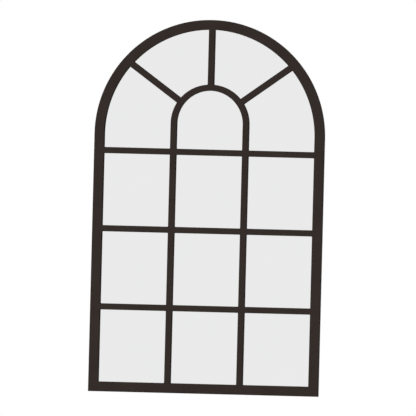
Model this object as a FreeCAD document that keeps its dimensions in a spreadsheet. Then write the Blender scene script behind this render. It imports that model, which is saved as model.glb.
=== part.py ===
import FreeCAD, Part
import math
import os
import Sketcher

# Arched window mirror. Millimetres, X across, +Y towards the wall, +Z up.
# The origin is the middle of the bottom rail's underside, halfway through the frame's depth.

DIMENSIONS = {
    # The whole object
    "overall_width": 930,
    "overall_height": 1500,
    # Outer frame: rectangular steel tube, 40 across the face and 30 front to back
    "frame_face": 40,
    "frame_depth": 30,
    "tube_wall": 1.5,
    "tube_corner": 2.5,
    # Glazing bars: lighter tube, flush with the front of the frame
    "bar_face": 25,
    "bar_depth": 15,
    "bar_wall": 1.2,
    "bar_corner": 2,
    # Layout of the bars
    "transom_drop": 67,     # spring line of the arch down to the middle of the top transoms
    "hoop_rise": 47.5,      # spring line of the arch up to the centre of the hoop
    "spoke_angle": 36,      # side spokes, degrees above the horizontal
    # Mirror and board, dropped in from behind against the bars
    "glass_thick": 4,
    "board_thick": 5,
    "edge_gap": 1,          # round the glass and the board, except where they stand on the rail
    # Offset clips that hold the mirror and board in
    "clip_width": 16,
    "clip_thick": 1.5,
    "clip_foot": 20,
    "clip_toe": 14,
    "clip_set": 0.8,        # from the tube's inner wall to the clip's web
    "clip_bend": 1,
    "low_stile_clip": 250,  # height of the lower clip on each stile
    "hanger_clip_gap": 99,  # foot of the hanger strap down to the higher clip
    "arch_clip_angle": 30,  # side clips on the arch, degrees above the horizontal
    # Pan head screws, self drilling, for the clips and the hangers
    "screw_shank": 4.2,
    "screw_length": 13,
    "screw_head": 8,
    "screw_head_top": 5,
    "screw_head_height": 2.6,
    "pilot_clearance": 0.05,
    "screw_clearance": 0.2,
    # Ring hangers
    "hanger_drop": 50,      # spring line down to the ring's pivot
    "strap_width": 16,
    "strap_thick": 1.5,
    "strap_length": 56,
    "strap_corner": 4,
    "strap_hole_first": 28,
    "strap_hole_pitch": 17,
    "ring_wire": 4,
    "ring_bar": 18,         # straight length that turns in the strap's eye
    "ring_corner": 5,
    "eye_clearance": 0.08,
    # Rubber pads that keep the back off the wall
    "pad_diameter": 20,
    "pad_tip_diameter": 15,
    "pad_height": 8,
    "low_pad_height": 60,
    "high_pad_angle": 50,   # degrees above the horizontal
}

doc = FreeCAD.newDocument("arched_window_mirror")
sheet = doc.addObject("Spreadsheet::Sheet", "dims")
for row, (alias, number) in enumerate(DIMENSIONS.items(), start=1):
    sheet.set(f"A{row}", alias)
    sheet.set(f"B{row}", str(number))
    sheet.setAlias(f"B{row}", alias)
doc.recompute()

# Places worked out from the driving dimensions, as expressions for the document
HALF_WIDTH = "(dims.overall_width / 2)"
FRONT = "(-dims.frame_depth / 2)"
BACK = "(dims.frame_depth / 2)"
SPRING = f"(dims.overall_height - {HALF_WIDTH})"
OPENING = f"({HALF_WIDTH} - dims.frame_face)"
STILE_MIDDLE = f"({HALF_WIDTH} - dims.frame_face / 2)"
PANE_WIDTH = f"((2 * {OPENING} - 2 * dims.bar_face) / 3)"
TOP_TRANSOM = f"({SPRING} - dims.transom_drop)"
PANE_HEIGHT = f"(({TOP_TRANSOM} - dims.frame_face - 5 * dims.bar_face / 2) / 3)"
HOOP_CENTRE = f"({SPRING} + dims.hoop_rise)"
HOOP_RADIUS = f"({PANE_WIDTH} / 2 + dims.bar_face)"
BAR_BACK = f"({FRONT} + dims.bar_depth)"
GLASS_BACK = f"({BAR_BACK} + dims.glass_thick)"
BOARD_BACK = f"({GLASS_BACK} + dims.board_thick)"
EYE_BORE = "(dims.ring_wire / 2 + dims.eye_clearance)"
EYE_RADIUS = f"({EYE_BORE} + dims.strap_thick)"
PIVOT_Y = f"({BACK} + {EYE_RADIUS})"
PIVOT_Z = f"({SPRING} - dims.hanger_drop)"
RING_RADIUS = "(dims.ring_bar / 2 + dims.ring_corner)"

nodes = []


def size(text):
    """The number that an expression gives now."""
    result = sheet.evalExpression(text)
    return float(getattr(result, "Value", result))


# ---------------------------------------------------------------- sketch helpers

def new_sketch(body, role, name, offset=None):
    """A sketch on one of the body's own origin planes, moved along the plane's normal."""
    sketch = body.newObject("Sketcher::SketchObject", name)
    plane = next(f for f in body.Origin.OriginFeatures if f.Role == role)
    sketch.AttachmentSupport = [(plane, "")]
    sketch.MapMode = "FlatFace"
    if offset:
        sketch.setExpression("AttachmentOffset.Base.z", offset)
    return sketch


def constrain(sketch, kind, *where, to):
    """A constraint whose value is an expression."""
    index = sketch.addConstraint(Sketcher.Constraint(kind, *where, size(to)))
    sketch.setExpression(f"Constraints[{index}]", to)


def pin_point(sketch, geometry, end, x, y):
    """Ties a point to the sketch's origin by two expressions."""
    for kind, axis, text in (("DistanceX", -2, x), ("DistanceY", -1, y)):
        if text == "0":
            sketch.addConstraint(Sketcher.Constraint("PointOnObject", geometry, end, axis))
        else:
            constrain(sketch, kind, -1, 1, geometry, end, to=text)


def outline(sketch, corners):
    """A closed polygon through corners given as pairs of expressions."""
    points = [FreeCAD.Vector(size(x), size(y), 0) for x, y in corners]
    first = sketch.GeometryCount
    for start, end in zip(points, points[1:] + points[:1]):
        sketch.addGeometry(Part.LineSegment(start, end))
    for i, (x, y) in enumerate(corners):
        before = first + (i - 1) % len(corners)
        sketch.addConstraint(Sketcher.Constraint("Coincident", before, 2, first + i, 1))
        pin_point(sketch, first + i, 1, x, y)


def rectangle(sketch, left, right, low, high):
    outline(sketch, [(left, low), (right, low), (right, high), (left, high)])


def circle(sketch, x, y, radius):
    centre = FreeCAD.Vector(size(x), size(y), 0)
    ring = sketch.addGeometry(Part.Circle(centre, FreeCAD.Vector(0, 0, 1), size(radius)))
    constrain(sketch, "Radius", ring, to=radius)
    pin_point(sketch, ring, 3, x, y)


def tube_section(sketch, left, right, low, high, corner, wall):
    """A rectangular tube cut across: round outer corners and a plain bore."""
    x0, x1, y0, y1, r = (size(text) for text in (left, right, low, high, corner))
    sides = [((x0 + r, y0), (x1 - r, y0)), ((x1, y0 + r), (x1, y1 - r)),
             ((x1 - r, y1), (x0 + r, y1)), ((x0, y1 - r), (x0, y0 + r))]
    centres = [(x1 - r, y0 + r), (x1 - r, y1 - r), (x0 + r, y1 - r), (x0 + r, y0 + r)]
    quarter = math.pi / 2
    for i, (start, end) in enumerate(sides):
        sketch.addGeometry(Part.LineSegment(FreeCAD.Vector(*start, 0), FreeCAD.Vector(*end, 0)))
        bend = Part.Circle(FreeCAD.Vector(*centres[i], 0), FreeCAD.Vector(0, 0, 1), r)
        sketch.addGeometry(Part.ArcOfCircle(bend, (i - 1) * quarter, i * quarter))
    for i in range(4):
        line, arc, following = 2 * i, 2 * i + 1, (2 * i + 2) % 8
        sketch.addConstraint(Sketcher.Constraint("Horizontal" if i % 2 == 0 else "Vertical", line))
        sketch.addConstraint(Sketcher.Constraint("Tangent", line, 2, arc, 1))
        sketch.addConstraint(Sketcher.Constraint("Tangent", arc, 2, following, 1))
        if i:
            sketch.addConstraint(Sketcher.Constraint("Equal", 1, arc))
    constrain(sketch, "Radius", 1, to=corner)
    constrain(sketch, "DistanceY", -1, 1, 0, 1, to=low)
    constrain(sketch, "DistanceX", -1, 1, 2, 1, to=right)
    constrain(sketch, "DistanceY", -1, 1, 4, 1, to=high)
    constrain(sketch, "DistanceX", -1, 1, 6, 1, to=left)
    bore(sketch, left, right, low, high, wall)


def rolled_section(sketch, left, right, low, high, corner, wall):
    """The same tube for a piece that is rolled to a curve. Each corner is two flats whose ends
    lie on the corner's arc, which keeps the curved faces simple."""
    corners = []
    for x, y, start in ((f"{right} - {corner}", f"{low} + {corner}", -90),
                        (f"{right} - {corner}", f"{high} - {corner}", 0),
                        (f"{left} + {corner}", f"{high} - {corner}", 90),
                        (f"{left} + {corner}", f"{low} + {corner}", 180)):
        corners += [(f"{x} + {corner} * cos({turn})", f"{y} + {corner} * sin({turn})")
                    for turn in (start, start + 45, start + 90)]
    outline(sketch, corners)
    bore(sketch, left, right, low, high, wall)


def bore(sketch, left, right, low, high, wall):
    rectangle(sketch, f"{left} + {wall}", f"{right} - {wall}", f"{low} + {wall}", f"{high} - {wall}")


# --------------------------------------------------------------- feature helpers

def new_body(name, node=True):
    body = doc.addObject("PartDesign::Body", name)
    body.Label = name
    if node:
        nodes.append(body)
    return body


def pad(body, sketch, length, middle=False):
    feature = body.newObject("PartDesign::Pad", f"{body.Name}_pad")
    feature.Profile = sketch
    feature.setExpression("Length", length)
    feature.SideType = "Symmetric" if middle else "One side"
    doc.recompute()


def cut(body, sketch, length):
    """Cuts a sketch out of the body, half of length to each side of the sketch's plane."""
    before = body.Shape.Volume
    feature = body.newObject("PartDesign::Pocket", f"{body.Name}_cut")
    feature.Profile = sketch
    feature.setExpression("Length", length)
    feature.SideType = "Symmetric"
    doc.recompute()
    if not body.Shape.Volume < before:
        raise RuntimeError(f"{feature.Name} cuts nothing")


def turn_round(body, sketch, angle=360):
    """Turns a half section about the sketch's upright axis."""
    feature = body.newObject("PartDesign::Revolution", f"{body.Name}_turned")
    feature.Profile = sketch
    feature.ReferenceAxis = (sketch, ["V_Axis"])
    feature.Angle = angle
    feature.Reversed = True
    doc.recompute()


def fillet(body, chosen, name, radius):
    """Rounds the edges that pass the test chosen."""
    tip = body.Tip
    edges = [f"Edge{i}" for i, edge in enumerate(tip.Shape.Edges, start=1) if chosen(edge)]
    feature = body.newObject("PartDesign::Fillet", f"{body.Name}_{name}")
    feature.Base = (tip, edges)
    feature.setExpression("Radius", radius)
    doc.recompute()


def turn_upright(item, angle):
    """Turns an item about the front-to-back axis, from +X towards +Z."""
    turn = FreeCAD.Rotation(FreeCAD.Vector(0, -1, 0), size(angle))
    item.Placement = FreeCAD.Placement(FreeCAD.Vector(), turn)
    item.setExpression("Placement.Rotation.Angle", angle)


def along(edge, axis):
    """True for a straight edge that runs along the axis 0, 1 or 2."""
    if not isinstance(edge.Curve, Part.Line):
        return False
    return abs(abs(edge.Curve.Direction[axis]) - 1) < 1e-6


# ---------------------------------------------------------------- outer frame

def frame_section(sketch, left, right, low, high):
    tube_section(sketch, left, right, low, high, "dims.tube_corner", "dims.tube_wall")


def screw_holes(body, places):
    """Pilot holes through the back wall of a frame tube, at (x, z)."""
    sketch = new_sketch(body, "XZ_Plane", f"{body.Name}_pilots", f"-{BACK}")
    for x, z in places:
        circle(sketch, x, z, "(dims.screw_shank / 2 + dims.pilot_clearance)")
    cut(body, sketch, "3 * dims.tube_wall")


def stile(name, sign):
    """An upright, mitred at the foot and square at the spring line of the arch."""
    edges = [f"{sign} * {HALF_WIDTH}", f"{sign} * {OPENING}"]
    body = new_body(name)
    section = new_sketch(body, "XY_Plane", f"{name}_section")
    left, right = sorted(edges, key=size)
    frame_section(section, left, right, FRONT, BACK)
    pad(body, section, SPRING)
    mitre = new_sketch(body, "XZ_Plane", f"{name}_mitre")
    outline(mitre, [(edges[0], "0"), (edges[1], "0"), (edges[1], "dims.frame_face")])
    cut(body, mitre, "2 * dims.frame_depth")
    clip_x = f"{sign} * ({OPENING} + dims.clip_foot / 2)"
    places = [(clip_x, z) for z in stile_clip_heights()]
    places += [(f"{sign} * {STILE_MIDDLE}", z) for z in strap_hole_heights()]
    screw_holes(body, places)


def bottom_rail():
    """The rail that the mirror stands on, mitred at both ends."""
    body = new_body("bottom_rail")
    section = new_sketch(body, "YZ_Plane", "bottom_rail_section")
    frame_section(section, FRONT, BACK, "0", "dims.frame_face")
    pad(body, section, "dims.overall_width", middle=True)
    mitre = new_sketch(body, "XZ_Plane", "bottom_rail_mitre")
    for sign in ("-1", "1"):
        end, inner = f"{sign} * {HALF_WIDTH}", f"{sign} * {OPENING}"
        outline(mitre, [(end, "0"), (inner, "dims.frame_face"), (end, "dims.frame_face")])
    cut(body, mitre, "2 * dims.frame_depth")
    screw_holes(body, [("0", "(dims.frame_face - dims.clip_foot / 2)")])


def half_ring(name, outer, inner, low, high, corner, wall, centre):
    """A tube rolled to a half circle that stands on its two ends."""
    body = new_body(name)
    section = new_sketch(body, "XY_Plane", f"{name}_section")
    rolled_section(section, inner, outer, low, high, corner, wall)
    turn_round(body, section, angle=180)
    body.setExpression("Placement.Base.z", centre)
    return body


def arch_head():
    body = half_ring("arch_head", HALF_WIDTH, OPENING, FRONT, BACK,
                     "dims.tube_corner", "dims.tube_wall", SPRING)
    radius = f"({OPENING} + dims.clip_foot / 2)"
    screw_holes(body, [(f"{radius} * cos({angle})", f"{radius} * sin({angle})")
                       for angle in arch_clip_angles()])


# --------------------------------------------------------------- glazing bars

def bar_section(sketch, left, right, low, high):
    tube_section(sketch, left, right, low, high, "dims.bar_corner", "dims.bar_wall")


def mullion(name, sign):
    """An upright bar from the bottom rail to the hoop's foot."""
    edges = [f"{sign} * {PANE_WIDTH} / 2", f"{sign} * {HOOP_RADIUS}"]
    left, right = sorted(edges, key=size)
    body = new_body(name)
    section = new_sketch(body, "XY_Plane", f"{name}_section", "dims.frame_face")
    bar_section(section, left, right, FRONT, BAR_BACK)
    pad(body, section, f"{HOOP_CENTRE} - dims.frame_face")


def transom(name, column, row):
    """A cross bar, one pane wide. Columns are -1, 0 and 1, rows count up from 0."""
    body = new_body(name)
    section = new_sketch(body, "YZ_Plane", f"{name}_section")
    bar_section(section, FRONT, BAR_BACK, "-dims.bar_face / 2", "dims.bar_face / 2")
    pad(body, section, PANE_WIDTH, middle=True)
    middle = f"dims.frame_face + {row + 1} * {PANE_HEIGHT} + {row + 0.5} * dims.bar_face"
    body.setExpression("Placement.Base.x", f"{column} * ({PANE_WIDTH} + dims.bar_face)")
    body.setExpression("Placement.Base.z", middle)


def spoke(name, angle):
    """A bar that radiates from the hoop's centre. One end is coped over the hoop and the
    other is cut to the arch, whose centre lies below the hoop's."""
    body = new_body(name)
    section = new_sketch(body, "YZ_Plane", f"{name}_section", f"{PANE_WIDTH} / 2")
    bar_section(section, FRONT, BAR_BACK, "-dims.bar_face / 2", "dims.bar_face / 2")
    pad(body, section, f"{HALF_WIDTH} - {PANE_WIDTH} / 2")
    cope = new_sketch(body, "XZ_Plane", f"{name}_cope")
    circle(cope, "0", "0", HOOP_RADIUS)
    cut(body, cope, "2 * dims.frame_depth")
    end = new_sketch(body, "XZ_Plane", f"{name}_end")
    arch_centre = (f"-dims.hoop_rise * sin({angle})", f"-dims.hoop_rise * cos({angle})")
    circle(end, *arch_centre, OPENING)
    circle(end, *arch_centre, "dims.overall_width")   # well past the bar's end
    cut(body, end, "2 * dims.frame_depth")
    turn_upright(body, angle)
    body.setExpression("Placement.Base.z", HOOP_CENTRE)


# ------------------------------------------------------------ mirror and board

def arched_plate(name, back, thickness):
    """A sheet that fills the frame's opening and stands on the bottom rail."""
    half = f"({OPENING} - dims.edge_gap)"
    body = new_body(name)
    sketch = new_sketch(body, "XZ_Plane", f"{name}_outline", f"-{back}")
    x, foot, top = size(half), size("dims.frame_face"), size(SPRING)
    corners = [FreeCAD.Vector(*p, 0) for p in ((-x, top), (-x, foot), (x, foot), (x, top))]
    for start, end in zip(corners, corners[1:]):
        sketch.addGeometry(Part.LineSegment(start, end))
    crown = FreeCAD.Vector(0, top + x, 0)
    head = sketch.addGeometry(Part.Arc(corners[3], crown, corners[0]))
    for line in range(3):
        ends = (line, 2, line + 1, 1)
        sketch.addConstraint(Sketcher.Constraint("Coincident", *ends))
    sketch.addConstraint(Sketcher.Constraint("Coincident", head, 2, 0, 1))
    pin_point(sketch, 0, 1, f"-{half}", SPRING)
    pin_point(sketch, 1, 1, f"-{half}", "dims.frame_face")
    pin_point(sketch, 2, 1, half, "dims.frame_face")
    pin_point(sketch, head, 3, "0", SPRING)
    constrain(sketch, "DistanceY", -1, 1, head, 1, to=SPRING)
    pad(body, sketch, thickness)


# -------------------------------------------------------- clips, screws and pads

def stile_clip_heights():
    low, high = "dims.low_stile_clip", f"({PIVOT_Z} - dims.strap_length - dims.hanger_clip_gap)"
    return [low, high]


def strap_hole_heights():
    first = f"({PIVOT_Z} - dims.strap_hole_first)"
    return [first, f"({first} - dims.strap_hole_pitch)"]


def arch_clip_angles():
    return ["dims.arch_clip_angle", "90", "(180 - dims.arch_clip_angle)"]


def clip_spots():
    """Where each clip goes: a point on the tube's inner wall, and the way inwards in degrees
    above +X."""
    spots = []
    for height in stile_clip_heights():
        spots += [(f"-{OPENING}", height, "0"), (OPENING, height, "180")]
    spots.append(("0", "dims.frame_face", "90"))
    for angle in arch_clip_angles():
        x, z = f"{OPENING} * cos({angle})", f"{SPRING} + {OPENING} * sin({angle})"
        spots.append((x, z, f"{angle} + 180"))
    return spots


def group(name, master, places):
    """One node made of a master piece repeated at (x, y, z, turn about the front-to-back axis)."""
    links = []
    for x, y, z, turn in places:
        link = doc.addObject("App::Link", f"{name}_piece")
        link.LinkedObject = master
        turn_upright(link, turn)
        for axis, text in zip("xyz", (x, y, z)):
            link.setExpression(f"Placement.Base.{axis}", text)
        links.append(link)
    whole = doc.addObject("Part::Compound", name)
    whole.Links = links
    whole.Label = name
    nodes.append(whole)


def clip_master():
    """A Z-shaped clip. It is drawn as if the tube's inner wall were at x = 0."""
    body = new_body("clip_master", node=False)
    profile = new_sketch(body, "XY_Plane", "clip_profile")
    web_out, web_in = "dims.clip_set", "dims.clip_set + dims.clip_thick"
    foot_top, toe_top = f"{BACK} + dims.clip_thick", f"{BOARD_BACK} + dims.clip_thick"
    outline(profile, [("-dims.clip_foot", BACK), (web_out, BACK), (web_out, BOARD_BACK),
                      ("dims.clip_toe", BOARD_BACK), ("dims.clip_toe", toe_top),
                      (web_in, toe_top), (web_in, foot_top), ("-dims.clip_foot", foot_top)])
    pad(body, profile, "dims.clip_width", middle=True)

    def bend(edge, x, y):
        point = edge.Vertexes[0].Point
        return along(edge, 2) and abs(point.x - size(x)) + abs(point.y - size(y)) < 1e-6

    inside = lambda edge: bend(edge, web_out, BACK) or bend(edge, web_in, toe_top)
    outside = lambda edge: bend(edge, web_out, BOARD_BACK) or bend(edge, web_in, foot_top)
    web = f"({BACK} - {BOARD_BACK})"
    fillet(body, inside, "inner_bends", f"min(dims.clip_bend; 0.3 * {web})")
    fillet(body, outside, "outer_bends", f"min(dims.clip_bend + dims.clip_thick; 0.6 * {web})")
    hole = new_sketch(body, "XZ_Plane", "clip_hole")
    circle(hole, "-dims.clip_foot / 2", "0", "(dims.screw_shank / 2 + dims.screw_clearance)")
    cut(body, hole, "4 * dims.frame_depth")
    return body


def screw_master():
    """A pan head screw along -Y, with the underside of its head at the origin."""
    body = new_body("screw_master", node=False)
    half = new_sketch(body, "XY_Plane", "screw_half")
    shank, tip, top = "dims.screw_shank / 2", "-dims.screw_length", "dims.screw_head_height"
    outline(half, [("0", tip), (shank, tip), (shank, "0"), ("dims.screw_head / 2", "0"),
                   ("dims.screw_head_top / 2", top), ("0", top)])
    turn_round(body, half)
    return body


def pad_master():
    """A rubber pad on the back of the frame, narrower towards the wall."""
    body = new_body("pad_master", node=False)
    half = new_sketch(body, "XY_Plane", "pad_half")
    outline(half, [("0", "0"), ("dims.pad_diameter / 2", "0"),
                   ("dims.pad_tip_diameter / 2", "dims.pad_height"), ("0", "dims.pad_height")])
    turn_round(body, half)
    return body


def fixings():
    spots = clip_spots()
    group("glazing_clips", clip_master(), [(x, "0", z, turn) for x, z, turn in spots])
    screw = screw_master()
    reach = "dims.clip_foot / 2"
    under_head = f"{BACK} + dims.clip_thick"
    group("clip_screws", screw, [(f"{x} - {reach} * cos({turn})", under_head,
                                  f"{z} - {reach} * sin({turn})", "0") for x, z, turn in spots])
    under_head = f"{BACK} + dims.strap_thick"
    group("hanger_screws", screw, [(f"{sign} * {STILE_MIDDLE}", under_head, z, "0")
                                   for sign in ("-1", "1") for z in strap_hole_heights()])
    high_x = f"{STILE_MIDDLE} * cos(dims.high_pad_angle)"
    high_z = f"{SPRING} + {STILE_MIDDLE} * sin(dims.high_pad_angle)"
    places = [(f"{sign} * {STILE_MIDDLE}", BACK, "dims.low_pad_height", "0") for sign in ("-1", "1")]
    places += [(f"{sign} * {high_x}", BACK, high_z, "0") for sign in ("-1", "1")]
    group("wall_pads", pad_master(), places)


# ------------------------------------------------------------------ ring hangers

def place_hanger(body, sign):
    body.setExpression("Placement.Base.x", f"{sign} * {STILE_MIDDLE}")
    body.setExpression("Placement.Base.y", PIVOT_Y)
    body.setExpression("Placement.Base.z", PIVOT_Z)


def hanger_strap(name, sign):
    """A steel strap whose top end is curled into an eye. The eye's axis is the body's X axis."""
    body = new_body(name)
    leaf = new_sketch(body, "YZ_Plane", f"{name}_leaf")
    rectangle(leaf, f"-{EYE_RADIUS}", f"-{EYE_BORE}", "-dims.strap_length", "0")
    pad(body, leaf, "dims.strap_width", middle=True)
    foot = -size("dims.strap_length")
    low_corner = lambda edge: along(edge, 1) and abs(edge.Vertexes[0].Point.z - foot) < 1e-6
    fillet(body, low_corner, "corners", "dims.strap_corner")
    holes = new_sketch(body, "XZ_Plane", f"{name}_holes")
    for z in ("-dims.strap_hole_first", "-dims.strap_hole_first - dims.strap_hole_pitch"):
        circle(holes, "0", z, "(dims.screw_shank / 2 + dims.screw_clearance)")
    cut(body, holes, f"4 * {EYE_RADIUS}")
    eye = new_sketch(body, "YZ_Plane", f"{name}_eye")
    circle(eye, "0", "0", EYE_RADIUS)
    circle(eye, "0", "0", EYE_BORE)
    pad(body, eye, "dims.strap_width", middle=True)
    place_hanger(body, sign)


def hanger_ring(name, sign):
    """A D-shaped wire ring that hangs from its straight side."""
    body = new_body(name)
    path = new_sketch(body, "XZ_Plane", f"{name}_path")
    bar, corner, radius = (size(text) for text in ("dims.ring_bar / 2", "dims.ring_corner", RING_RADIUS))
    start, left, right = (FreeCAD.Vector(x, 0, 0) for x in (0, -bar, bar))
    down = FreeCAD.Vector(0, -corner, 0)
    path.addGeometry(Part.LineSegment(start, left))
    for centre, reach, first, turn in ((left + down, corner, 90, 90), (down, radius, 180, 180),
                                       (right + down, corner, 0, 90)):
        bend = Part.Circle(centre, FreeCAD.Vector(0, 0, 1), reach)
        path.addGeometry(Part.ArcOfCircle(bend, math.radians(first), math.radians(first + turn)))
    path.addGeometry(Part.LineSegment(right, start))
    for piece in range(4):
        path.addConstraint(Sketcher.Constraint("Tangent", piece, 2, piece + 1, 1))
    path.addConstraint(Sketcher.Constraint("Coincident", 4, 2, 0, 1))
    path.addConstraint(Sketcher.Constraint("Horizontal", 0))
    path.addConstraint(Sketcher.Constraint("Horizontal", 4))
    path.addConstraint(Sketcher.Constraint("Equal", 1, 3))
    pin_point(path, 0, 1, "0", "0")
    constrain(path, "DistanceX", -1, 1, 0, 2, to="-dims.ring_bar / 2")
    constrain(path, "Radius", 1, to="dims.ring_corner")
    constrain(path, "Radius", 2, to=RING_RADIUS)
    section = new_sketch(body, "YZ_Plane", f"{name}_section")
    circle(section, "0", "0", "dims.ring_wire / 2")
    wire = body.newObject("PartDesign::AdditivePipe", f"{name}_wire")
    wire.Profile = section
    wire.Spine = (path, [])
    place_hanger(body, sign)
    doc.recompute()


# ------------------------------------------------------------------- the mirror

stile("left_stile", "-1")
stile("right_stile", "1")
arch_head()
bottom_rail()
mullion("left_mullion", "-1")
mullion("right_mullion", "1")
half_ring("hoop_bar", HOOP_RADIUS, f"{PANE_WIDTH} / 2", FRONT, BAR_BACK,
          "dims.bar_corner", "dims.bar_wall", HOOP_CENTRE)
for row, level in enumerate(("lower", "middle", "upper")):
    for column, side in ((-1, "left"), (0, "centre"), (1, "right")):
        transom(f"{level}_{side}_transom", column, row)
spoke("right_spoke", "dims.spoke_angle")
spoke("top_spoke", "90")
spoke("left_spoke", "180 - dims.spoke_angle")
arched_plate("mirror_glass", GLASS_BACK, "dims.glass_thick")
arched_plate("backing_board", BOARD_BACK, "dims.board_thick")
fixings()
for sign, side in (("-1", "left"), ("1", "right")):
    hanger_strap(f"{side}_hanger_strap", sign)
    hanger_ring(f"{side}_hanger_ring", sign)

doc.recompute()
failed = [item.Name for item in doc.Objects if "Invalid" in item.State or "Error" in item.State]
bad = [node.Label for node in nodes if node.Shape.isNull() or not node.Shape.isValid()]
if failed or bad:
    raise RuntimeError(f"failed features {failed}, bad shapes {bad}")

os.makedirs("parts", exist_ok=True)
for node in nodes:
    node.Shape.exportStep(f"parts/{node.Label}.step")
    print(f"{node.Label}: {len(node.Shape.Solids)} solid(s), {node.Shape.Volume / 1000:.1f} cm3")
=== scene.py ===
import math
import random

import bmesh
import bpy
from mathutils import Matrix, Vector


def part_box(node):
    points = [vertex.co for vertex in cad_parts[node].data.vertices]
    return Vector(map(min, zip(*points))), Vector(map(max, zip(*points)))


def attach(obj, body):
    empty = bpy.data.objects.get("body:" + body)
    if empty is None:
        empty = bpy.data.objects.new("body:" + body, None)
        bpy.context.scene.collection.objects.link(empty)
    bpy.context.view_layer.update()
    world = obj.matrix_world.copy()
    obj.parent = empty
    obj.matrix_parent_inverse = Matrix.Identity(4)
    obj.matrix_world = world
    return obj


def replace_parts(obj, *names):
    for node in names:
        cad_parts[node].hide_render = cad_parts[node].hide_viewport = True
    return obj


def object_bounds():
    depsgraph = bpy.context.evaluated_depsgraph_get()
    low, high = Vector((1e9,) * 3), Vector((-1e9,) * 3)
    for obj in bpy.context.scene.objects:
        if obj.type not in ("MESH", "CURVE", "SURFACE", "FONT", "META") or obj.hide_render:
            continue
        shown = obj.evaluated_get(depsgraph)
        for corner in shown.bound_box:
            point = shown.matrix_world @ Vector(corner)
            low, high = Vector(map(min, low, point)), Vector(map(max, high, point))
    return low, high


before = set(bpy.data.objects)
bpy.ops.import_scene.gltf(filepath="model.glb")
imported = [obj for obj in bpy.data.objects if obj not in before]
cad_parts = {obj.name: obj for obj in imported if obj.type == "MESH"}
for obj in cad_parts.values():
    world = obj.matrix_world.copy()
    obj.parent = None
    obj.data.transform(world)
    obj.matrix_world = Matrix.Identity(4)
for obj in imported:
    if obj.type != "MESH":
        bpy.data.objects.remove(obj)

CAD_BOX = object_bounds()

# Arched window mirror: finishes, ground welds, screws, pads, light and camera. Metres, X across,
# +Y towards the wall, +Z up. The origin is the middle of the bottom rail's underside.

MM = 0.001
X, Y, Z = Vector((1, 0, 0)), Vector((0, 1, 0)), Vector((0, 0, 1))

FRAME_FACE = 40 * MM
FRAME_CORNER = 2.5 * MM      # outer corner radius of the frame tube
FRAME_WALL = 1.5 * MM
BAR_CORNER = 2 * MM          # outer corner radius of the glazing bars
BAR_WALL = 1.2 * MM
BAR_FACE = 25 * MM
BAR_DEPTH = 15 * MM
SPOKE_ANGLES = [math.radians(angle) for angle in (36, 90, 144)]
STILE_END = 0.4              # a transom's end further than this from the middle meets a stile
ARCH_SEGMENTS = 120          # straight steps in each rolled tube's half circle
HOOP_SEGMENTS = 72


# ------------------------------------------------------------------------- camera

PHOTO_SIDE = 416                       # pixels
METRES_PER_PIXEL = 0.004010
AZIMUTH = math.radians(7.5)            # the camera stands to the object's right
ROLL = math.radians(1.46)              # the object leans clockwise in the picture
CENTRE_ABOVE_MIDDLE = 1.0              # pixels that the object's middle sits above the picture's
CAMERA_DISTANCE = 6


def make_camera():
    """A parallel view, square on in height, as the photograph shows the object."""
    data = bpy.data.cameras.new("camera")
    data.type = "ORTHO"
    data.ortho_scale = PHOTO_SIDE * METRES_PER_PIXEL
    data.clip_end = 50
    camera = bpy.data.objects.new("camera", data)
    bpy.context.scene.collection.objects.link(camera)
    back = Vector((math.sin(AZIMUTH), -math.cos(AZIMUTH), 0))
    turn = back.to_track_quat("Z", "Y").to_matrix() @ Matrix.Rotation(ROLL, 3, "Z")
    middle = (CAD_BOX[0] + CAD_BOX[1]) / 2
    middle.y = 0
    down = -CENTRE_ABOVE_MIDDLE * METRES_PER_PIXEL
    stand = middle + CAMERA_DISTANCE * back + turn @ Vector((0, down, 0))
    camera.matrix_world = Matrix.Translation(stand) @ turn.to_4x4()
    bpy.context.scene.camera = camera


# ---------------------------------------------------------------- light and floor

KEY_STRENGTH = 3.2
KEY_FROM = Vector((-0.53, -0.63, 0.57))    # from the object towards the key light
AMBIENT = 0.22
BACK_STRENGTH = 1.7
BACK_FROM = Vector((-0.15, 0.85, 0.5))     # lights the back only
LAMP_SPREAD = math.radians(25)
FLOOR_REACH = 4
FLOOR_COLOUR = (0.62, 0.62, 0.62, 1)
FLOOR_LIFT = 0.32                          # what the camera sees of the floor above its own colour


def seen_directly(nodes, links):
    """1 on rays from the camera, straight or by way of a mirror or glass, and 0 on diffuse ones."""
    path = nodes.new("ShaderNodeLightPath")
    total = path.outputs["Is Camera Ray"]
    for name in ("Is Glossy Ray", "Is Transmission Ray"):
        add = nodes.new("ShaderNodeMath")
        add.operation = "MAXIMUM"
        links.new(total, add.inputs[0])
        links.new(path.outputs[name], add.inputs[1])
        total = add.outputs[0]
    first = nodes.new("ShaderNodeMath")
    first.operation = "LESS_THAN"
    first.inputs[1].default_value = 0.5
    links.new(path.outputs["Diffuse Depth"], first.inputs[0])
    both = nodes.new("ShaderNodeMath")
    both.operation = "MULTIPLY"
    links.new(total, both.inputs[0])
    links.new(first.outputs[0], both.inputs[1])
    return both.outputs[0]


def make_world():
    world = bpy.data.worlds.new("studio")
    bpy.context.scene.world = world
    world.use_nodes = True
    nodes, links = world.node_tree.nodes, world.node_tree.links
    nodes.clear()
    ambient, white = nodes.new("ShaderNodeBackground"), nodes.new("ShaderNodeBackground")
    ambient.inputs["Color"].default_value = (1, 1, 1, 1)
    ambient.inputs["Strength"].default_value = AMBIENT
    white.inputs["Color"].default_value = (1, 1, 1, 1)
    white.inputs["Strength"].default_value = 1
    mix, out = nodes.new("ShaderNodeMixShader"), nodes.new("ShaderNodeOutputWorld")
    links.new(seen_directly(nodes, links), mix.inputs[0])
    links.new(ambient.outputs[0], mix.inputs[1])
    links.new(white.outputs[0], mix.inputs[2])
    links.new(mix.outputs[0], out.inputs[0])


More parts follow.
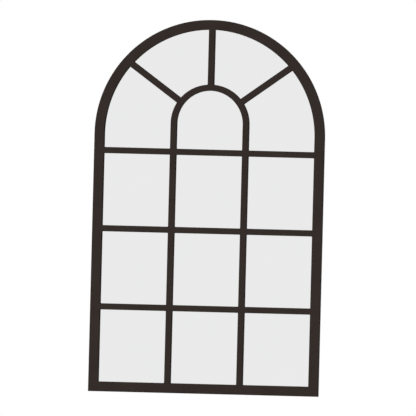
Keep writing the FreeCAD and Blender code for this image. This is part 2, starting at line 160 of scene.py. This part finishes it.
def make_lamp(name, strength, towards):
    """A broad soft lamp, far away. The mirror doesn't show its disc."""
    data = bpy.data.lights.new(name, "SUN")
    data.energy = strength
    data.angle = LAMP_SPREAD
    lamp = bpy.data.objects.new(name, data)
    lamp.rotation_mode = "QUATERNION"
    lamp.rotation_quaternion = towards.to_track_quat("Z", "Y")
    lamp.visible_glossy = False
    bpy.context.scene.collection.objects.link(lamp)


def make_floor():
    mesh = bpy.data.meshes.new("floor")
    corners = [(x * FLOOR_REACH, y * FLOOR_REACH, 0) for x, y in ((-1, -1), (1, -1), (1, 1), (-1, 1))]
    mesh.from_pydata(corners, [], [(0, 1, 2, 3)])
    floor = bpy.data.objects.new("floor", mesh)
    bpy.context.scene.collection.objects.link(floor)
    finish = bpy.data.materials.new("floor")
    finish.use_nodes = True
    nodes, links = finish.node_tree.nodes, finish.node_tree.links
    nodes.clear()
    diffuse, lift = nodes.new("ShaderNodeBsdfDiffuse"), nodes.new("ShaderNodeEmission")
    diffuse.inputs["Color"].default_value = FLOOR_COLOUR
    share = nodes.new("ShaderNodeMath")
    share.operation = "MULTIPLY"
    share.inputs[1].default_value = FLOOR_LIFT
    links.new(seen_directly(nodes, links), share.inputs[0])
    links.new(share.outputs[0], lift.inputs["Strength"])
    add, out = nodes.new("ShaderNodeAddShader"), nodes.new("ShaderNodeOutputMaterial")
    links.new(diffuse.outputs[0], add.inputs[0])
    links.new(lift.outputs[0], add.inputs[1])
    links.new(add.outputs[0], out.inputs[0])
    mesh.materials.append(finish)


# ---------------------------------------------------------------------- materials

class Finish:
    """A Principled material and the node calls that the finishes below share."""

    def __init__(self, name, **constants):
        self.material = bpy.data.materials.new(name)
        self.material.use_nodes = True
        self.nodes, self.links = self.material.node_tree.nodes, self.material.node_tree.links
        self.shader = self.nodes["Principled BSDF"]
        self.place = self.nodes.new("ShaderNodeTexCoord").outputs["Object"]
        for socket, value in constants.items():
            self.shader.inputs[socket.replace("_", " ")].default_value = value

    def drive(self, socket, source):
        self.links.new(source, self.shader.inputs[socket])

    def stretched(self, scale):
        node = self.nodes.new("ShaderNodeMapping")
        node.inputs["Scale"].default_value = scale
        self.links.new(self.place, node.inputs["Vector"])
        return node.outputs[0]

    def noise(self, per_metre, detail=2, roughness=0.5, place=None):
        node = self.nodes.new("ShaderNodeTexNoise")
        node.inputs["Scale"].default_value = per_metre
        node.inputs["Detail"].default_value = detail
        node.inputs["Roughness"].default_value = roughness
        self.links.new(place or self.place, node.inputs["Vector"])
        return node.outputs["Fac"]

    def spread(self, source, low, high, start=0.3, end=0.7):
        """Maps a pattern's start to end onto low to high."""
        node = self.nodes.new("ShaderNodeMapRange")
        for name, value in (("From Min", start), ("From Max", end), ("To Min", low), ("To Max", high)):
            node.inputs[name].default_value = value
        self.links.new(source, node.inputs["Value"])
        return node.outputs[0]

    def blend(self, share, first, second):
        """Mixes two colours, each given as numbers or as another node's output."""
        node = self.nodes.new("ShaderNodeMix")
        node.data_type = "RGBA"
        self.links.new(share, node.inputs[0])
        for socket, colour in ((node.inputs[6], first), (node.inputs[7], second)):
            if isinstance(colour, tuple):
                socket.default_value = (*colour, 1)
            else:
                self.links.new(colour, socket)
        return node.outputs[2]

    def times(self, first, second):
        node = self.nodes.new("ShaderNodeMath")
        node.operation = "MULTIPLY"
        self.links.new(first, node.inputs[0])
        self.links.new(second, node.inputs[1])
        return node.outputs[0]

    def height(self, source, depth, strength=1.0, over=None):
        """Adds a bump of that depth in metres, over an earlier one."""
        node = self.nodes.new("ShaderNodeBump")
        node.inputs["Distance"].default_value = depth
        node.inputs["Strength"].default_value = strength
        self.links.new(source, node.inputs["Height"])
        if over is not None:
            self.links.new(over, node.inputs["Normal"])
        return node.outputs[0]

    def edges(self, radius):
        """0 on flat surfaces, rising to 1 on edges that are tighter than the radius."""
        bevel = self.nodes.new("ShaderNodeBevel")
        bevel.samples = 4
        bevel.inputs["Radius"].default_value = radius
        geometry = self.nodes.new("ShaderNodeNewGeometry")
        dot = self.nodes.new("ShaderNodeVectorMath")
        dot.operation = "DOT_PRODUCT"
        self.links.new(bevel.outputs[0], dot.inputs[0])
        self.links.new(geometry.outputs["True Normal"], dot.inputs[1])
        return self.spread(dot.outputs["Value"], 1, 0, 0.90, 0.999)


def powder_coat():
    """Matt dark bronze powder coat: fine orange peel, faint clouding, rubbed edges."""
    f = Finish("powder_coat_bronze", Specular_IOR_Level=0.05)
    clouds = f.spread(f.noise(9, 4, 0.6), 0, 1)
    colour = f.blend(clouds, (0.0298, 0.0222, 0.0194), (0.0350, 0.0264, 0.0233))
    rubbed = f.times(f.edges(2.5 * MM), f.spread(f.noise(70, 5, 0.65), 0, 0.5, 0.5, 0.75))
    f.drive("Base Color", f.blend(rubbed, colour, (0.062, 0.049, 0.043)))
    f.drive("Roughness", f.spread(f.noise(240, 3, 0.6), 0.70, 0.84))
    peel = f.height(f.noise(420, 2), 0.10 * MM, 0.35)
    f.drive("Normal", f.height(f.noise(2600, 1), 0.02 * MM, 0.5, peel))
    return f.material


def mirror_silver():
    """Silvered glass, seen as a nearly perfect mirror on every side of the sheet."""
    f = Finish("silvered_glass", Metallic=1)
    haze = f.noise(5, 3, 0.5)
    f.drive("Base Color", f.blend(f.spread(haze, 0, 1), (0.818, 0.822, 0.821), (0.826, 0.827, 0.827)))
    f.drive("Roughness", f.spread(f.noise(60, 4, 0.6), 0.004, 0.016))
    return f.material


def fibreboard():
    """Brown pressed fibreboard, its fibres lying every way, with pale and dark flecks."""
    f = Finish("pressed_fibreboard", Specular_IOR_Level=0.25)
    across, along = f.stretched((620, 620, 210)), f.stretched((210, 620, 620))
    fibres = f.times(f.noise(1, 4, 0.7, across), f.noise(1, 4, 0.7, along))
    base = f.blend(f.spread(fibres, 0, 1, 0.15, 0.38), (0.245, 0.158, 0.087), (0.315, 0.208, 0.119))
    stains = f.spread(f.noise(6, 5, 0.65), 0, 0.7, 0.35, 0.70)
    base = f.blend(stains, base, (0.222, 0.142, 0.078))
    flecks = f.spread(f.noise(900, 2, 0.6), 0, 1, 0.66, 0.72)
    f.drive("Base Color", f.blend(flecks, base, (0.10, 0.060, 0.032)))
    f.drive("Roughness", f.spread(fibres, 0.82, 0.68, 0.15, 0.4))
    f.drive("Normal", f.height(fibres, 0.25 * MM, 0.6))
    return f.material


def zinc_plate():
    """Bright zinc plate over pressed steel, a little stained."""
    f = Finish("zinc_plate", Metallic=1)
    stain = f.spread(f.noise(160, 4, 0.65), 0, 1)
    f.drive("Base Color", f.blend(stain, (0.52, 0.53, 0.54), (0.66, 0.65, 0.61)))
    f.drive("Roughness", f.spread(f.noise(420, 4, 0.6), 0.26, 0.44))
    lines = f.noise(1, 3, 0.6, f.stretched((4200, 4200, 160)))
    f.drive("Normal", f.height(lines, 0.02 * MM, 0.4))
    return f.material


def pad_rubber():
    f = Finish("pad_rubber", Specular_IOR_Level=0.3)
    dust = f.spread(f.noise(260, 4, 0.7), 0, 1, 0.45, 0.75)
    f.drive("Base Color", f.blend(dust, (0.018, 0.018, 0.019), (0.040, 0.039, 0.038)))
    f.drive("Roughness", f.spread(f.noise(700, 2), 0.62, 0.82))
    f.drive("Normal", f.height(f.noise(1800, 2), 0.04 * MM, 0.5))
    return f.material


# ----------------------------------------------------------------------- geometry

END_CREASE = 60       # degrees: the cut ends of the rolled tubes stay flat, and their corners round


def add_piece(name, mesh, finish, crease):
    """Puts a mesh in the scene as a piece of the mirror, smooth but for edges over crease degrees."""
    mesh.shade_smooth()
    mesh.set_sharp_from_angle(angle=math.radians(crease))
    mesh.materials.append(finish)
    piece = bpy.data.objects.new(name, mesh)
    bpy.context.scene.collection.objects.link(piece)
    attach(piece, "mirror")
    return piece


def tube_outline(inner, outer, front, back, corner, steps=6):
    """Points round a tube's section with their normals, as (radius, y), clockwise from the front's
    inner corner. Each corner is an arc of that many steps."""
    points = []
    centres = ((inner + corner, front + corner, 180), (inner + corner, back - corner, 90),
               (outer - corner, back - corner, 0), (outer - corner, front + corner, -90))
    for cr, cy, end in centres:
        for step in range(steps + 1):
            angle = math.radians(end + 90 - 90 * step / steps)
            normal = (math.cos(angle), math.sin(angle))
            points.append(((cr + corner * normal[0], cy + corner * normal[1]), normal))
    return points


def rolled_tube(name, node, face, corner, wall, finish, segments):
    """A tube rolled to a half circle that stands on its two ends, in place of a CAD node."""
    low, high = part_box(node)
    outer = (high.x - low.x) / 2
    centre = Vector((0, 0, low.z))
    outline = tube_outline(outer - face, outer, low.y, high.y, corner)
    count = len(outline)
    vertices, turns = [], []
    for step in range(segments + 1):
        angle = math.pi * step / segments
        radial = Vector((math.cos(angle), 0, math.sin(angle)))
        turns.append((radial, Vector((-math.sin(angle), 0, math.cos(angle)))))
        for depth in (0, wall):
            for (radius, y), normal in outline:
                across, away = radius - depth * normal[0], y - depth * normal[1]
                vertices.append(centre + radial * across + Y * away)
    faces, normals = [], []

    def facing(step, index, sign):
        normal = outline[index][1]
        return sign * (turns[step][0] * normal[0] + Y * normal[1])

    for step in range(segments):
        for skin, sign in ((0, 1), (1, -1)):
            here, there = (2 * step + skin) * count, (2 * step + 2 + skin) * count
            for i in range(count):
                j = (i + 1) % count
                corners = [(here + i, step, i), (here + j, step, j),
                           (there + j, step + 1, j), (there + i, step + 1, i)]
                for vertex in corners[::-sign]:
                    normals.append(facing(vertex[1], vertex[2], sign))
                faces.append([vertex[0] for vertex in corners[::-sign]])
    for step, sign in ((0, -1), (segments, 1)):
        ring = 2 * step * count
        for i in range(count):
            j = (i + 1) % count
            faces.append([ring + i, ring + count + i, ring + count + j, ring + j][::-sign])
            normals += [sign * turns[step][1]] * 4
    mesh = bpy.data.meshes.new(name)
    mesh.from_pydata(vertices, [], faces)
    piece = add_piece(name, mesh, finish, END_CREASE)
    mesh.normals_split_custom_set(normals)
    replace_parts(piece, node)


def shells_mesh(name, bm):
    """A mesh from a bmesh of closed shells, which it frees."""
    bmesh.ops.recalc_face_normals(bm, faces=bm.faces)
    mesh = bpy.data.meshes.new(name)
    bm.to_mesh(mesh)
    bm.free()
    return mesh


def solid_piece(name, bm, finish, crease):
    return add_piece(name, shells_mesh(name, bm), finish, crease)


def loft(bm, sections):
    """Joins equal rings of points into one closed shell."""
    rings = [[bm.verts.new(point) for point in section] for section in sections]
    for ring, following in zip(rings, rings[1:]):
        for i in range(len(ring)):
            j = (i + 1) % len(ring)
            bm.faces.new((ring[i], ring[j], following[j], following[i]))
    bm.faces.new(rings[0])
    bm.faces.new(reversed(rings[-1]))


def lathe(bm, profile, steps, place=Matrix.Identity(4)):
    """Turns a profile of (radius, y) points, which starts and ends on the Y axis, into a shell."""
    first, *middle, last = profile
    tips = [bm.verts.new(place @ Vector((0, y, 0))) for _, y in (first, last)]
    turns = [2 * math.pi * step / steps for step in range(steps)]
    rings = [[bm.verts.new(place @ Vector((r * math.cos(t), y, r * math.sin(t)))) for t in turns]
             for r, y in middle]
    for i in range(steps):
        j = (i + 1) % steps
        bm.faces.new((tips[0], rings[0][i], rings[0][j]))
        bm.faces.new((tips[1], rings[-1][j], rings[-1][i]))
        for ring, following in zip(rings, rings[1:]):
            bm.faces.new((ring[i], ring[j], following[j], following[i]))


def islands(node):
    """The lowest and highest corners of each separate solid in a CAD node."""
    bm = bmesh.new()
    bm.from_mesh(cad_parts[node].data)
    bmesh.ops.remove_doubles(bm, verts=bm.verts, dist=0.001 * MM)
    boxes, waiting = [], set(bm.verts)
    while waiting:
        front, found = [waiting.pop()], []
        while front:
            vertex = front.pop()
            found.append(vertex.co.copy())
            for edge in vertex.link_edges:
                other = edge.other_vert(vertex)
                if other in waiting:
                    waiting.remove(other)
                    front.append(other)
        boxes.append(tuple(Vector(pick(co[axis] for co in found) for axis in range(3))
                           for pick in (min, max)))
    bm.free()
    return sorted(boxes, key=lambda box: (round(box[0].z, 4), round(box[0].x, 4)))


# ------------------------------------------------------------------- welded joints

FLAT_STEPS = 5                  # sections from the middle of a weld to the bar's rounded corner
CORNER_TURNS = (25, 50, 75)     # degrees round the bar's corner for the sections beyond
BEAD_LEG, BEAD_WANDER = 2.1, 0.25       # mm along each wall, more or less
BEAD_START = 0.4 * MM                   # the leg where a bead fades out behind the front
BEAD_FROM, BEAD_SHORT = 0.9 * MM, 1.0 * MM      # front end's depth, and how much shorter than the bar
BEAD_STEPS = 10
BEAD_ROOT, BEAD_LAP = 0.3 * MM, 0.2 * MM        # how far a bead's root and its toes sink in
BEAD_HOLLOW = 0.3                       # the middle of the bead's face, as a share of its leg


class Joint:
    """Where the end of a bar meets the side of another member. At an offset across the bar, it
    gives the point on the member's side, level with the front, and the way out of the member."""

    def __init__(self, edge_at, along, corner):
        self.edge_at, self.along, self.corner = edge_at, along, corner


def straight_joint(point, out, along, corner):
    return Joint(lambda offset: (point + offset * along, out), along, corner)


def hoop_joint(centre, radius, axis, along):
    def edge_at(offset):
        reach = math.sqrt(radius ** 2 - offset ** 2)
        out = (axis * reach + along * offset) / radius
        return centre + out * radius, out
    return Joint(edge_at, along, BAR_CORNER)


def arch_joint(start, axis, along, centre, radius):
    def edge_at(offset):
        gap = start + along * offset - centre
        forward = gap.dot(axis)
        point = centre + gap + axis * (math.sqrt(forward ** 2 - gap.length_squared + radius ** 2) - forward)
        return point, (centre - point) / radius
    return Joint(edge_at, along, FRAME_CORNER)


def bar_joints():
    """Every end of a glazing bar that meets the side of another member."""
    front = Y * CAD_BOX[0].y
    joints = []
    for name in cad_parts:
        if "transom" in name:
            low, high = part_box(name)
            middle = Z * (low.z + high.z) / 2 + front
            for x, out in ((low.x, X), (high.x, -X)):
                corner = FRAME_CORNER if abs(x) > STILE_END else BAR_CORNER
                joints.append(straight_joint(middle + X * x, out, Z, corner))
        elif "mullion" in name:
            low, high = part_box(name)
            joints.append(straight_joint(X * (low.x + high.x) / 2 + Z * low.z + front, Z, X, FRAME_CORNER))
    hoop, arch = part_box("hoop_bar"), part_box("arch_head")
    hoop_centre, arch_centre = Z * hoop[0].z + front, Z * arch[0].z + front
    opening = arch[1].x - FRAME_FACE
    for angle in SPOKE_ANGLES:
        axis = Vector((math.cos(angle), 0, math.sin(angle)))
        along = Vector((-math.sin(angle), 0, math.cos(angle)))
        joints.append(hoop_joint(hoop_centre, hoop[1].x, axis, along))
        joints.append(arch_joint(hoop_centre, axis, along, arch_centre, opening))
    return joints


def add_welds():
    """The welds where bars meet: ground flush in front, small coated beads down each side."""
    half = BAR_FACE / 2
    fills, beads = bmesh.new(), bmesh.new()
    draw = random.Random(11)
    flat = half - BAR_CORNER
    offsets = [flat * step / FLAT_STEPS for step in range(-FLAT_STEPS, FLAT_STEPS + 1)]
    rounding = [flat + BAR_CORNER * math.sin(math.radians(turn)) for turn in CORNER_TURNS]
    offsets = [-offset for offset in reversed(rounding)] + offsets + rounding
    for joint in bar_joints():
        sections = []
        for offset in offsets:
            point, out = joint.edge_at(offset)
            over = max(0, abs(offset) - flat)
            drop = BAR_CORNER - math.sqrt(BAR_CORNER ** 2 - over ** 2)
            left = joint.corner - drop
            back = joint.corner - math.sqrt(joint.corner ** 2 - left ** 2)
            sections.append((point - out * back + Y * drop, point + Y * drop, point + Y * joint.corner))
        loft(fills, sections)
        for sign in (-1, 1):
            root, out = joint.edge_at(sign * half)
            side = joint.along * sign
            sections = []
            for step in range(BEAD_STEPS + 1):
                wander = draw.uniform(-BEAD_WANDER, BEAD_WANDER) if step else 0
                leg = (BEAD_LEG + wander) * MM if step else BEAD_START
                y = Y * (BEAD_FROM + (BAR_DEPTH - BEAD_SHORT) * step / BEAD_STEPS)
                sections.append((root - (out + side) * BEAD_ROOT + y,
                                 root + out * leg - side * BEAD_LAP + y,
                                 root + (out + side) * BEAD_HOLLOW * leg + y,
                                 root + side * leg - out * BEAD_LAP + y))
            loft(beads, sections)
    solid_piece("ground_welds", fills, COAT, crease=25)
    solid_piece("weld_beads", beads, COAT, crease=60)


# ------------------------------------------------------------------ screws and pads

# Profiles in millimetres, as (radius, height)
SCREW_PROFILE = [(0, -13), (0.5, -12.6), (1.5, -10.9), (1.75, -10.4), (2.1, -9.8), (2.1, -0.05), (2.5, 0),
                 (3.9, 0), (4.0, 0.12), (3.98, 0.8), (3.82, 1.35), (3.45, 1.85), (2.85, 2.25), (2.1, 2.48),
                 (1.1, 2.58), (0, 2.6)]
PAD_PROFILE = [(0, 0), (9.7, 0), (9.95, 0.1), (10, 0.4), (9.9, 0.9), (8.1, 6.6), (7.8, 7.4), (7.35, 7.85),
               (6.8, 8), (3.0, 8), (2.7, 7.9), (2.5, 7.55), (2.3, 7.2), (0, 7.1)]
RECESS_WINGS = ((2.2, 0.50, 2.9), (2.15, 0.48, 2.3), (1.1, 0.34, 0.9))   # reach, half width, height
SCREW_STEPS = 40      # round each turned profile
PAD_STEPS = 56


def screw_mesh():
    """A pan head screw with a cross recess, in millimetres."""
    bm = bmesh.new()
    lathe(bm, SCREW_PROFILE, SCREW_STEPS)
    master = bpy.data.objects.new("screw_master", shells_mesh("screw_master", bm))
    bpy.context.scene.collection.objects.link(master)
    tools = []
    for along, across in ((X, Z), (Z, X)):
        bm = bmesh.new()
        loft(bm, [[along * a * reach + across * b * half + Y * height
                   for a, b in ((-1, -1), (1, -1), (1, 1), (-1, 1))] for reach, half, height in RECESS_WINGS])
        tool = bpy.data.objects.new("recess", shells_mesh("recess", bm))
        bpy.context.scene.collection.objects.link(tool)
        cut = master.modifiers.new("recess", "BOOLEAN")
        cut.operation, cut.solver, cut.object = "DIFFERENCE", "EXACT", tool
        tools.append(tool)
    bpy.context.view_layer.update()
    made = bpy.data.meshes.new_from_object(master.evaluated_get(bpy.context.evaluated_depsgraph_get()))
    for item in (master, *tools):
        bpy.data.objects.remove(item)
    return made


def add_screws(name, node, master, seed):
    draw = random.Random(seed)
    bm = bmesh.new()
    for low, high in islands(node):
        seat = Vector(((low.x + high.x) / 2, high.y - SCREW_PROFILE[-1][1] * MM, (low.z + high.z) / 2))
        before = len(bm.verts)
        bm.from_mesh(master)
        bm.verts.ensure_lookup_table()
        turn = Matrix.Rotation(draw.uniform(0, math.pi), 4, "Y")
        place = Matrix.Translation(seat) @ turn @ Matrix.Scale(MM, 4)
        bmesh.ops.transform(bm, matrix=place, verts=bm.verts[before:])
    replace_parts(solid_piece(name, bm, ZINC, crease=32), node)


def add_pads():
    bm = bmesh.new()
    for low, high in islands("wall_pads"):
        seat = Vector(((low.x + high.x) / 2, low.y, (low.z + high.z) / 2))
        lathe(bm, PAD_PROFILE, PAD_STEPS, Matrix.Translation(seat) @ Matrix.Scale(MM, 4))
    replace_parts(solid_piece("rubber_wall_pads", bm, RUBBER, crease=50), "wall_pads")


# ---------------------------------------------------------------- build the object

COAT, SILVER, BOARD = powder_coat(), mirror_silver(), fibreboard()
ZINC, RUBBER = zinc_plate(), pad_rubber()
SLOT_FINISH = {"powder_coat": COAT, "mirror_glass": SILVER, "fibreboard": BOARD,
               "zinc_steel": ZINC, "rubber": RUBBER}

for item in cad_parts.values():
    slot_name = item.data.materials[0].name
    item.data.materials.clear()
    item.data.materials.append(SLOT_FINISH[slot_name])

rolled_tube("arched_head_tube", "arch_head", FRAME_FACE, FRAME_CORNER, FRAME_WALL, COAT, ARCH_SEGMENTS)
rolled_tube("hoop_tube", "hoop_bar", BAR_FACE, BAR_CORNER, BAR_WALL, COAT, HOOP_SEGMENTS)

add_welds()
screw = screw_mesh()
add_screws("pan_head_clip_screws", "clip_screws", screw, 3)
add_screws("pan_head_hanger_screws", "hanger_screws", screw, 5)
add_pads()

make_camera()
make_world()
make_lamp("key", KEY_STRENGTH, KEY_FROM)
make_lamp("back_fill", BACK_STRENGTH, BACK_FROM)
make_floor()
bpy.context.scene.view_settings.view_transform = "Standard"
